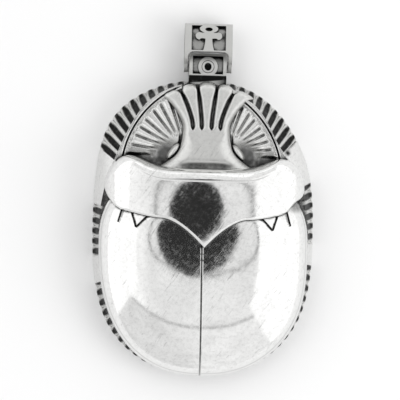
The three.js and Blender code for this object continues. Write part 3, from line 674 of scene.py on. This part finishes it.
def thorax_rear(x):
    point = POINT_Y + POINT_RISE * (1 - np.maximum(0, 1 - x / POINT_HALF_WIDTH) ** 1.65)
    t = np.clip((x - POINT_HALF_WIDTH) / (SHOULDER_X - POINT_HALF_WIDTH), 0, 1)
    end = (x - SHOULDER_X) / (THORAX_HALF_WIDTH - SHOULDER_X)
    return THORAX_END_Y - (THORAX_END_Y - point - 0.92 * t ** 1.6) * blunt(end, 1.75)


def thorax_front(x):
    hump = FRONT_HUMP * np.exp(-((np.minimum(x, SHOULDER_X) - SHOULDER_X) / 3.4) ** 2)
    end = (x - SHOULDER_X) / (THORAX_HALF_WIDTH - SHOULDER_X)
    return THORAX_END_Y + (THORAX_FRONT_Y + hump - THORAX_END_Y) * blunt(end, 1.8)


def patch(name, us, vs, place, satin=1):
    """A patch of surface over a grid, with walls and a flat floor inside the rim."""
    u, v = np.meshgrid(us, vs)
    x, y, z, oxide_and_shade = place(u, v)
    top = np.stack([x, y, z], axis=-1).reshape(-1, 3)
    floor = top * (1, 1, 0) + (0, 0, ROOT)
    half = len(top)
    cell = np.arange(half).reshape(len(vs), len(us))
    quads = np.stack([cell[:-1, :-1], cell[:-1, 1:], cell[1:, 1:], cell[1:, :-1]], axis=-1)
    quads = quads.reshape(-1, 4)
    faces = quads.tolist() + (quads[:, ::-1] + half).tolist()
    border = np.concatenate([cell[0], cell[1:, -1], cell[-1, -2::-1], cell[-2:0:-1, 0]])
    following = np.roll(border, -1)
    faces += np.stack([border, border + half, following + half, following], axis=1).tolist()
    return closed_form(name, np.vstack([top, floor]), faces, np.concatenate([oxide_and_shade.ravel()] * 2), satin)


def thorax_surface(u, v):
    x = THORAX_HALF_WIDTH * np.sin(u * pi / 2)
    far = np.abs(x)
    rear = thorax_rear(far) + CUT_BACK * np.exp(-((x - CUT_BACK_X) / CUT_BACK_SPREAD) ** 2)
    depth = thorax_front(far) - rear
    y = rear + v * depth
    crown = THORAX_TOP - x * x / (2 * THORAX_CROWN_RADIUS)
    lip = wing_height(far, rear) + THORAX_STEP
    over_lip = crown - (rear - THORAX_MIDDLE_Y) ** 2 / (2 * THORAX_LENGTH_RADIUS) - lip
    from_rear, to_front = v * depth, (1 - v) * depth
    rear_round = np.minimum(REAR_ROUND, 0.45 * depth) + 1e-6
    lip_round = np.minimum(LIP_ROUND, 0.1 * depth) + 1e-6
    nose_round = np.minimum(NOSE_ROUND, 0.4 * depth) + 1e-6
    z = crown - (y - THORAX_MIDDLE_Y) ** 2 / (2 * THORAX_LENGTH_RADIUS)
    z -= over_lip * (1 - blunt(1 - np.minimum(1, from_rear / rear_round), 2))
    z -= lip_round * (1 - blunt(1 - np.minimum(1, from_rear / lip_round), 2))
    z -= NOSE_DROP * (1 - blunt(1 - np.minimum(1, to_front / nose_round), 2))
    fade = blunt((far - SHOULDER_X + 0.4) / (THORAX_HALF_WIDTH - SHOULDER_X + 0.4), 2.2)
    line = np.exp(-((to_front - 1.9) / 0.1) ** 2) * rise(far, 11, 9)
    under_lip = rise(from_rear, 0.12, 0.05) * rise(far, 14.5, 13)
    z = THORAX_END_Z + (z - THORAX_END_Z) * fade - 0.04 * line
    return x, y, z, np.maximum(0.85 * under_lip, 0.3 * line)


along_thorax = np.concatenate([[0, 0.003, 0.006, 0.01, 0.014, 0.02, 0.03, 0.045, 0.06, 0.08],
                               np.linspace(0.1, 0.7, 20), np.linspace(0.72, 1, 44)])
thorax = patch("thorax", np.linspace(-1, 1, 181), along_thorax, thorax_surface, satin=0)

# The head
# Five round-ended lobes that fan out from a narrow neck, parted by blackened grooves, and a root
# that spreads round the eyes and dips under the thorax.
FAN_MIDDLE_Y = 10.6
FAN_RADIUS = 13.5
HEAD_START_Y = 9
NECK_Y = 15.5
NECK_HALF_WIDTH = 3.83
HEAD_CORNER_Y = 21.7
LOBE_BOUNDS = np.array((-1.12, -0.585, -0.21, 0.21, 0.585, 1.12))
HEAD_TOP = 8.5
HEAD_FALL = 2.3
HEAD_SIDE_ROUND = 1.1
GROOVE_HALF_WIDTH = 0.3
GROOVE_DEPTH = 0.6
GROOVES_START = 0.485
DIP_Y = 10.5
DIP_HALF_WIDTH = 4.4
DIP_DEPTH = 0.35


def head_half_width(y):
    flare = np.hypot(1.19, 0.8 * np.maximum(0, y - NECK_Y)) - 1.19
    root = np.minimum(3.8, 0.45 * (np.maximum(0, NECK_Y - y) / 2.7) ** 3)
    return NECK_HALF_WIDTH + flare + root


def head_surface(u, v):
    half_width = head_half_width(HEAD_START_Y + v * (HEAD_CORNER_Y - HEAD_START_Y))
    x = half_width * u
    lobe = np.clip(np.searchsorted(LOBE_BOUNDS, u, side="right") - 1, 0, 4)
    low, high = LOBE_BOUNDS[lobe], LOBE_BOUNDS[lobe + 1]
    across_lobe = np.abs(u - (low + high) / 2) / ((high - low) / 2)
    to_groove = (1 - across_lobe) * (high - low) / 2 * half_width
    width = GROOVE_HALF_WIDTH * (1 - 0.4 * rise(v, 0.8, 0.95))
    width = width * np.sqrt(rise(v, GROOVES_START, 0.53)) + 1e-4
    groove = np.exp(-(to_groove / (1.1 * width)) ** 2) * rise(v, GROOVES_START, 0.5)
    bow = v * v * (FAN_RADIUS - np.sqrt(FAN_RADIUS ** 2 - x * x))
    y = HEAD_START_Y + v * (FAN_MIDDLE_Y + FAN_RADIUS - HEAD_START_Y)
    y = y - bow - 1.05 * v ** 10 * across_lobe ** 4
    side_round = HEAD_SIDE_ROUND + 1.6 * rise(v, 0.46, 0.26)
    from_side = np.minimum(1, (1 - np.abs(u)) * half_width / side_round)
    dip = np.exp(-((y - DIP_Y) / 0.6) ** 2) * np.exp(-(x / DIP_HALF_WIDTH) ** 4)
    z = HEAD_TOP - HEAD_FALL * v - 1.7 * (1 - blunt(1 - from_side, 2))
    z -= GROOVE_DEPTH * groove + 0.7 * np.maximum(0, (v - 0.93) / 0.07) ** 2 + DIP_DEPTH * dip
    in_groove = 0.82 * np.exp(-(to_groove / (1.25 * width)) ** 2) * rise(v, GROOVES_START, 0.56)
    return x, y, z, np.maximum(in_groove, 0.78 * rise(dip, 0.1, 0.7))


bounds = (0, *LOBE_BOUNDS[3:5], 1)
lobes = [np.linspace(low, high, 33)[1:] for low, high in zip(bounds, bounds[1:])]
across_head = np.concatenate([[0], *lobes])
across_head = np.concatenate([-across_head[:0:-1], across_head])
head = patch("head", across_head, np.linspace(0, 1, 100), head_surface)

# The forelegs and eyes
# On each side of the head a fan of flat ribs that spread from a point beside the neck, with a
# doubled edge, a blackened hollow at their root, and an almond-shaped eye standing in it.
FAN_POINT = (3, 12.2)
FAN_START = 2
FAN_SPAN_DEG = (-28, 84)
FAN_SATIN = 0.6
FAN_LOW = 4.3

# Left and right: how far the edge is from the point, its bow, and the angle where the bow is least
FANS = {-1: (9.85, 0.35, 33), 1: (8.4, 0.4, 32)}
RIBS_LOW = 5
RIBS_HIGH = 5.5
GROOVES_DEG = (9, 19.5, 29, 38.7, 51, 60.5, 71)
EYE_MIDDLE = (5.27, 12.7)
EYE_HALF = (0.66, 1.6, 1.15)
EYE_LEAN_DEG = 38
EYE_LEVEL = 5.7


def fan_reach(side, angle):
    """How far the rim's top edge is from the ribs' point."""
    r = np.full_like(angle, 9.0)
    for _ in range(14):
        x = side * (FAN_POINT[0] + r * np.cos(np.radians(angle)))
        y = FAN_POINT[1] + r * np.sin(np.radians(angle))
        r = np.clip(r + 0.8 * (rim_top_radius(np.arctan2(y, x)) - np.hypot(x, y)), 7, 13)
    return r


def foreleg_surface(side):
    middle, bow, at = FANS[side]

    def place(angle, v):
        edge = middle + bow * ((angle - at) / 25) ** 2
        reach = np.minimum(fan_reach(side, angle), edge + 2) - 0.03
        r = FAN_START + (reach - FAN_START) * v
        x = FAN_POINT[0] + r * np.cos(np.radians(angle))
        y = FAN_POINT[1] + r * np.sin(np.radians(angle))
        to_groove = np.min([np.abs(np.radians(angle - g)) * r for g in GROOVES_DEG], axis=0)
        past_edge = r - edge
        ribbed = rise(r, 3.6, 4.4) * rise(past_edge, -0.65, -0.95)
        groove = np.exp(-(to_groove / 0.25) ** 2) * ribbed
        crown = 0.2 * ribbed * (1 - np.minimum(1, to_groove / (0.085 * r)) ** 2)
        ridges = rise(past_edge, -0.5, -0.38) * rise(past_edge, -0.03, -0.15)
        ridges += rise(past_edge, 0.04, 0.14) * rise(r - reach, -0.05, -0.2)
        line = np.exp(-(past_edge / 0.13) ** 2)
        by_eye = rise(np.hypot(x - 6.4, y - 11.9), 3.6, 1.4)
        by_thorax = 0.6 * rise(y, 12.6, 11.8) * rise(past_edge, -0.5, -0.9)
        by_head = rise(x - head_half_width(y), 0.75, 0.35) * rise(y, 16.5, 14.5) * 0.45
        hollow = np.maximum(np.maximum(by_eye, by_thorax), by_head)
        ribs = RIBS_LOW + (RIBS_HIGH - RIBS_LOW) * (r - 4) / (middle - 4) + crown - 0.4 * groove
        # Painted shade: the lowest ribs darken towards the thorax's front, and this goes into the black
        shaded = rise(angle, 13, 9) * (0.4 + 0.45 * rise(angle, 8, -12))
        shaded = shaded * rise(past_edge, -0.45, -0.9)
        z = ribs + (FAN_LOW - ribs) * hollow + 0.2 * ridges - 0.25 * line
        z -= (z - FAN_LOW) * rise(r - reach, -0.25, -0.02)
        oxide_and_shade = np.max([0.55 * groove, 0.42 * line, 0.7 * hollow, shaded], axis=0)
        return side * x, y, z, oxide_and_shade
    return place


across_fan = np.linspace(*FAN_SPAN_DEG, 220)
along_fan = np.concatenate([np.linspace(0, 0.82, 34), np.linspace(0.83, 1, 36)])
forms = []
for side in (-1, 1):
    forms.append(patch(f"foreleg {side}", across_fan, along_fan, foreleg_surface(side), FAN_SATIN))
    longitudes = np.linspace(0, 2 * pi, 41)[:-1]
    lean = radians(EYE_LEAN_DEG) * side
    rings = []
    for latitude in np.linspace(-pi / 2, pi / 2, 20)[1:-1]:
        x = EYE_HALF[0] * np.cos(latitude) * np.cos(longitudes)
        y = EYE_HALF[1] * np.cos(latitude) * np.sin(longitudes)
        rings.append(np.stack([side * EYE_MIDDLE[0] + x * cos(lean) - y * sin(lean),
                               EYE_MIDDLE[1] + x * sin(lean) + y * cos(lean),
                               np.full_like(x, EYE_LEVEL + EYE_HALF[2] * sin(latitude))], axis=1))
    forms.append(loft(f"eye {side}", rings))

# The hoop
# A short tube cast on the head end, on a square lug. The lug and the tube's side towards the head are
# black, partly oxide and partly painted shade between the hoop and the head. The tube's front has a sunk
# field with a raised ring round a pierced boss, and the bail's cross bar turns in its bore.
PIVOT = np.array((0, 26.7, 3.0))
HOOP_RADIUS = 2.15
HOOP_HALF_WIDTH = 3.05
BORE_RADIUS = 1.4
FIELD_HALF_WIDTH = 2.5
FIELD_HALF_LENGTH = 1.75
FIELD_SUNK = 0.42
RING_OUTER_RADIUS = 1.6
RING_INNER_RADIUS = 1.05
BOSS_RADIUS = 0.95
HOLE_HALF = (0.59, 0.64)
HOLE_DEPTH = 0.6
LUG_HALF_HEIGHT = 1.9
LUG_START = -4.2
LUG_END = -1

# Points along the top of the lug, where the black fades out
LUG_FADE = (-1.35, -1.5, -2, -2.6)

# Small pieces are pale and soft from the tumbling, above what a satin of 1 gives
SMALL_SATIN = 1.8


def bar(name, outline, half_width):
    """An outline in the plane of Y and Z about the pivot, made into a bar along X."""
    outline = np.array(outline, float)
    rings = [np.column_stack([np.full(len(outline), x), outline]) + PIVOT
             for x in (-half_width, half_width)]
    return loft(name, rings)


def post(name, outline, low, high):
    """An outline in plan about the pivot, made upright."""
    outline = np.array(outline, float)
    rings = [np.column_stack([outline, np.full(len(outline), z)]) + PIVOT for z in (low, high)]
    return loft(name, rings)


def oval(x, y, half_x, half_y, count=48):
    angle = np.linspace(0, 2 * pi, count + 1)[:-1]
    return np.stack([x + half_x * np.cos(angle), y + half_y * np.sin(angle)], axis=1)


def disc(radius, count=48):
    return oval(0, 0, radius, radius, count)


def oblong(x0, x1, y0, y1):
    return [(x0, y0), (x1, y0), (x1, y1), (x0, y1)]


lug = [(LUG_START, -LUG_HALF_HEIGHT), (LUG_END, -LUG_HALF_HEIGHT)]
lug += [(y, LUG_HALF_HEIGHT) for y in (LUG_END, *LUG_FADE, LUG_START)]
hoop = bar("hoop", disc(HOOP_RADIUS, 96), HOOP_HALF_WIDTH)
hoop = combined(hoop, [bar("lug", lug, HOOP_HALF_WIDTH)], "UNION")
hoop = combined(hoop, [bar("bore", disc(BORE_RADIUS, 64), HOOP_HALF_WIDTH + 1)], "DIFFERENCE")

# The field's cutter leaves the ring and the boss standing
field = oblong(-FIELD_HALF_WIDTH, FIELD_HALF_WIDTH, -FIELD_HALF_LENGTH, FIELD_HALF_LENGTH)
core = bar("core", disc(HOOP_RADIUS - FIELD_SUNK, 96), FIELD_HALF_WIDTH + 0.1)
sunk = combined(bar("sunk", disc(HOOP_RADIUS + 0.1, 96), FIELD_HALF_WIDTH), [core], "DIFFERENCE")
sunk = combined(sunk, [post("front", field, 0, 4)], "INTERSECT")
gap = post("gap", disc(RING_INNER_RADIUS), -1, 5)
ring = combined(post("ring", disc(RING_OUTER_RADIUS), 0, 4), [gap], "DIFFERENCE")
sunk = combined(sunk, [ring, post("boss", disc(BOSS_RADIUS), 0, 4)], "DIFFERENCE")
hole = post("hole", oval(0, 0, *HOLE_HALF), HOOP_RADIUS - HOLE_DEPTH, 4)
hoop = combined(hoop, [sunk, hole], "DIFFERENCE")


def hoop_black(x, y, z):
    in_hole = (np.hypot(x, y) < 0.7) & (z < HOOP_RADIUS - 0.3)
    floor = 0.35 * (np.hypot(y, z) < HOOP_RADIUS - 0.2)
    # Past 1.3 mm towards the head the tube and lug turn black: partly oxide, partly painted shade between
    # the hoop and the head
    return np.maximum(np.maximum(0.12 + floor, in_hole), rise(y, -1.3, -1.5))


def finished(form, satin, black):
    """Sets how satin a form is, and how black by a function of each point's place about the pivot."""
    about_pivot = places(form) - PIVOT
    set_finish(form.data, "satin", np.full(len(about_pivot), float(satin)))
    set_finish(form.data, "oxide_and_shade", black(*about_pivot.T))


finished(hoop, SMALL_SATIN, hoop_black)

# The casting
# All the forms so far are one piece of silver from one mould. They are joined to one skin, so that
# nothing is buried inside it, and the black in the corners runs from one form to the next.
CRISP_DEG = 32


def silvered(piece, name):
    """Names a piece, and gives it the silver and a smooth skin with crisp edges."""
    piece.name = name
    piece.data.materials.clear()
    piece.data.materials.append(polished_silver)
    piece.data.shade_smooth()
    piece.data.set_sharp_from_angle(angle=radians(CRISP_DEG))


casting = combined(casting, [wings, thorax, head, *forms, hoop], "UNION")
silvered(casting, "scarab_casting")
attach(casting, "amulet")
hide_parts("scarab_body")

# The bail
# A bent strap of the same silver. Its front is sunk to leave an ankh standing, and each leg has a
# window for the hoop and closes on the cross bar that runs through it.
BAIL_HALF_WIDTH = 3.9
BAIL_KNEE = (1.9, 3.0)
BAIL_SHOULDER = (5.3, 2.3)
BAIL_TOP = 7.06
BAIL_FLAT = 0.6
BAIL_WALL = 0.85
CROSS_BAR_RADIUS = 0.95
WINDOW_HALF_WIDTH = 3.35
WINDOW_END = 2.45
WINDOW_CORNER = 0.9
PANEL_HALF_WIDTH = 2.8
PANEL_SUNK = 0.6
PANEL_FROM = 2.66
PANEL_TO = 6.73

# The ankh in plan about the pivot: its loop, the loop's hole, and the round end of each arm
LOOP = (0, 6.2, 1.5, 0.7)
LOOP_HOLE = (0, 6.1, 0.6, 0.32)
ARM_END = (1.55, 5.02)
ARM_END_RADIUS = 0.62


def curve(start, control, end, count=14):
    """Points of a curve that bends towards its control point, without the start."""
    t = np.linspace(0, 1, count + 1)[1:, None]
    start, control, end = np.array(start), np.array(control), np.array(end)
    return ((1 - t) ** 2 * start + 2 * t * (1 - t) * control + t ** 2 * end).tolist()


def strap_outline(inset):
    """The side view of the strap, or of its inside where the inset is the wall's thickness."""
    foot = -CROSS_BAR_RADIUS + 1.35 * inset
    knee = (BAIL_KNEE[0], BAIL_KNEE[1] - inset)
    shoulder = (BAIL_SHOULDER[0] - 0.2 * inset, BAIL_SHOULDER[1] - inset)
    crown = (BAIL_TOP - inset, BAIL_FLAT)
    bend = (crown[0], shoulder[1] - 0.205 * (crown[0] - shoulder[0]))
    half = [(foot, 0)]
    half += curve((foot, 0), (foot, 0.95 - 0.9 * inset), (0.4, 1.7 - inset))
    half += curve((0.4, 1.7 - inset), (1.1, knee[1]), knee)
    half += curve(knee, (2.4, knee[1]), (2.9, knee[1] - 0.15), 5)
    half += curve(shoulder, bend, crown)
    return half + [(y, -z) for y, z in half[:0:-1]]


bail = combined(bar("bail", strap_outline(0), BAIL_HALF_WIDTH),
                [bar("inside", strap_outline(BAIL_WALL), BAIL_HALF_WIDTH + 1)], "DIFFERENCE")

corner_x, corner_y = WINDOW_HALF_WIDTH - WINDOW_CORNER, WINDOW_END - WINDOW_CORNER
window = [(-WINDOW_HALF_WIDTH, -3), (WINDOW_HALF_WIDTH, -3)]
for side, turns in ((1, np.linspace(0, pi / 2, 12)), (-1, np.linspace(pi / 2, 0, 12))):
    window += [(side * (corner_x + WINDOW_CORNER * cos(a)), corner_y + WINDOW_CORNER * sin(a))
               for a in turns]
bail = combined(bail, [post("window", window, -4, 4)], "DIFFERENCE")
bail = combined(bail, [bar("cross bar", disc(CROSS_BAR_RADIUS), BAIL_HALF_WIDTH)], "UNION")

# The panel's cutter leaves the ankh standing
core = bar("core", strap_outline(PANEL_SUNK), PANEL_HALF_WIDTH + 1)
panel = combined(bar("panel", strap_outline(-0.1), PANEL_HALF_WIDTH), [core], "DIFFERENCE")
field = oblong(-PANEL_HALF_WIDTH, PANEL_HALF_WIDTH, PANEL_FROM, PANEL_TO)
panel = combined(panel, [post("front", field, 0, 4)], "INTERSECT")
loop = combined(post("loop", oval(*LOOP), 0, 4), [post("hole", oval(*LOOP_HOLE), -1, 5)], "DIFFERENCE")
half_turn = np.linspace(-pi / 2, pi / 2, 14)
ankh = [(0.92, 2.56)]
ankh += curve((0.92, 2.56), (0.6, 3.5), (0.55, 4.55))
ankh += curve((0.55, 4.55), (1.3, 4.75), (1.5, 4.4))
ankh += [(ARM_END[0] + ARM_END_RADIUS * cos(a), ARM_END[1] + ARM_END_RADIUS * sin(a)) for a in half_turn]
ankh += curve((1.55, 5.64), (1, 5.4), (0.5, 5.7))
ankh += [(-x, y) for x, y in ankh[::-1]]
panel = combined(panel, [loop, post("ankh", ankh, 0, 4)], "DIFFERENCE")
bail = combined(bail, [panel], "DIFFERENCE")


def bail_black(x, y, z):
    front = np.array(strap_outline(0))
    front = front[front[:, 1] >= 0]
    depth = np.interp(y, front[:, 0], front[:, 1]) - np.abs(z)
    return 0.16 + 0.22 * ((depth > 0.2) & (z > 0)) + 0.1 * (depth > 0.75)


finished(bail, SMALL_SATIN, bail_black)
silvered(bail, "strap_bail")
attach(bail, "bail")
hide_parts("bail")
